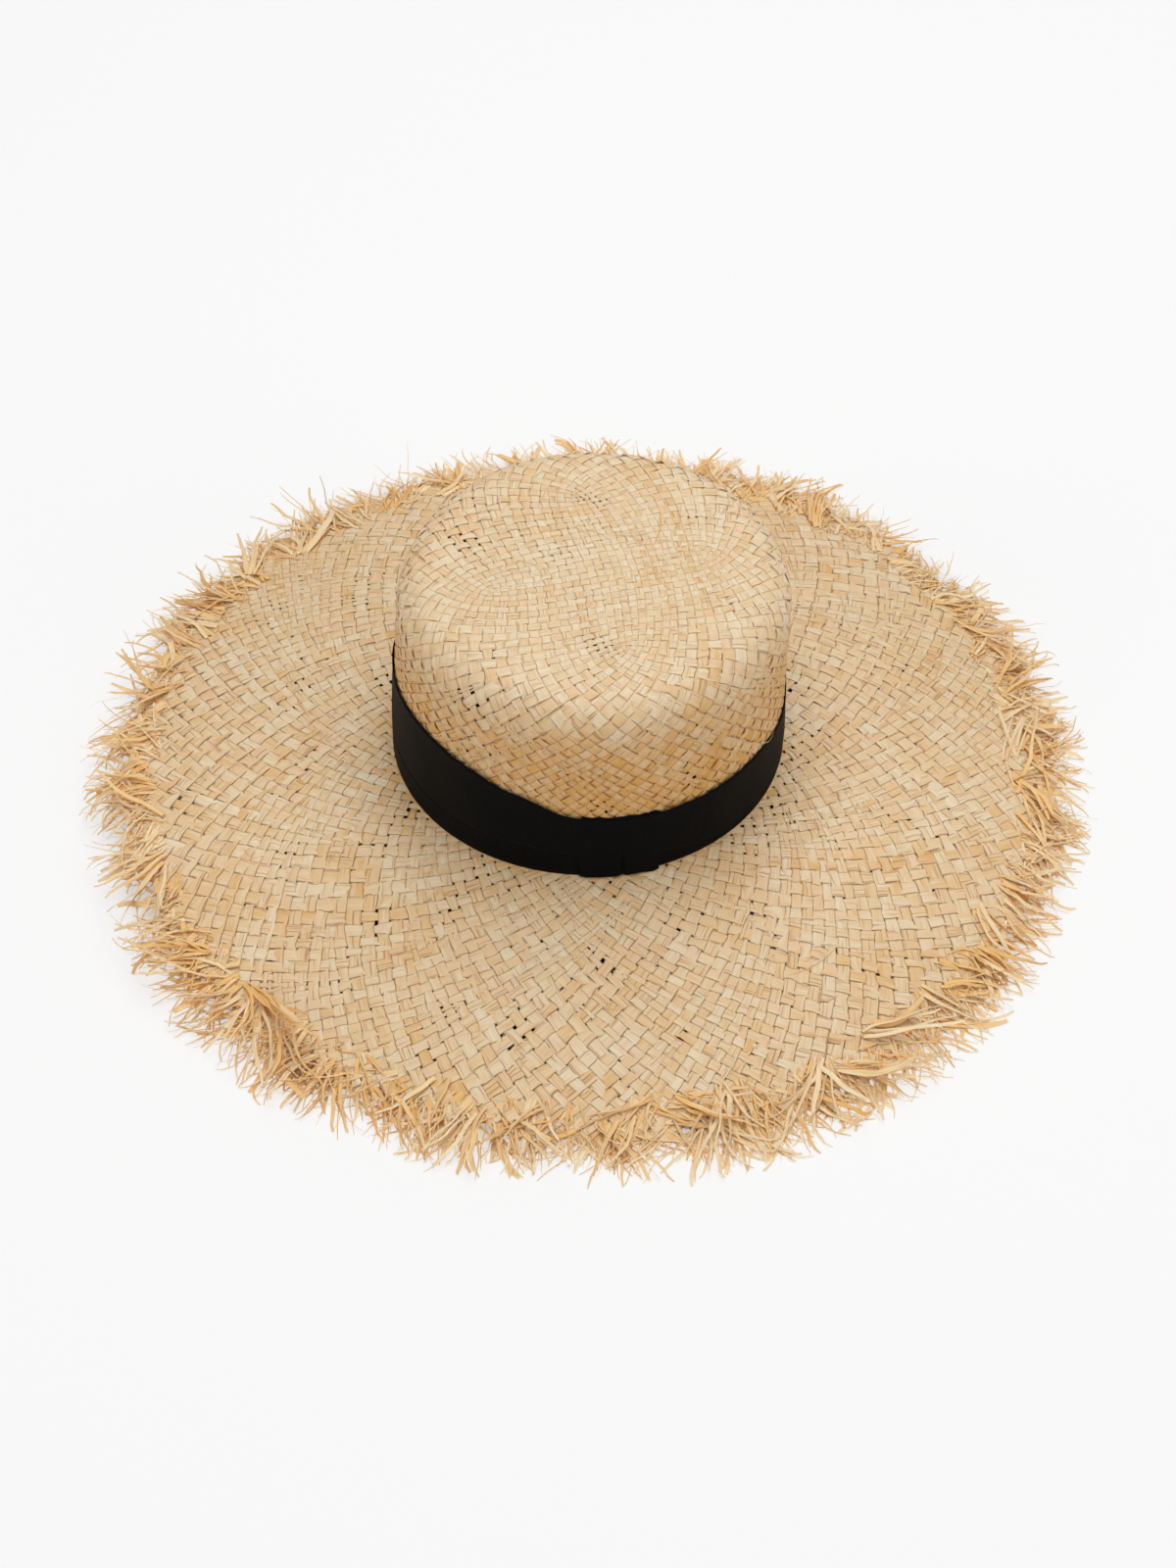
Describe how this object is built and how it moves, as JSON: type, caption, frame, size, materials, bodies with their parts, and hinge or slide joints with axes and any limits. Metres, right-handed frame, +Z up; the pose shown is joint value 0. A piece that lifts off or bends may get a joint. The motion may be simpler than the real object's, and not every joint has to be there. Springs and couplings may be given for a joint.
{
  "type": "straw sun hat",
  "caption": "Wide-brimmed woven straw sun hat with a low round crown, a frayed rim fringe and a dark ribbon band with a flat tab.",
  "frame": {"origin": "centre of the crown's axis on the plane that the rim rests on", "axes": "+Z up along the crown's axis; -Y towards the front, beside the ribbon tab; +X to the right, seen from the front"},
  "size_m": [0.49, 0.49, 0.145],
  "materials": {
    "straw": "natural raffia strips in an over-and-under weave, faint silk sheen",
    "frayed_straw": "loose split raffia strands, slightly more orange than the weave",
    "ribbon": "matte black fine-ribbed ribbon",
    "sweatband": "cream ribbed cotton tape",
    "thread": "cream sewing thread",
    "label": "blank white woven tape"
  },
  "bodies": {
    "root": {"crown": "straw", "brim": "straw", "fringe": "frayed_straw", "ribbon_band": "ribbon", "ribbon_tab": "ribbon", "sweatband": "sweatband", "sweatband_stitch": "thread", "size_label": "label"}
  },
  "joints": []
}
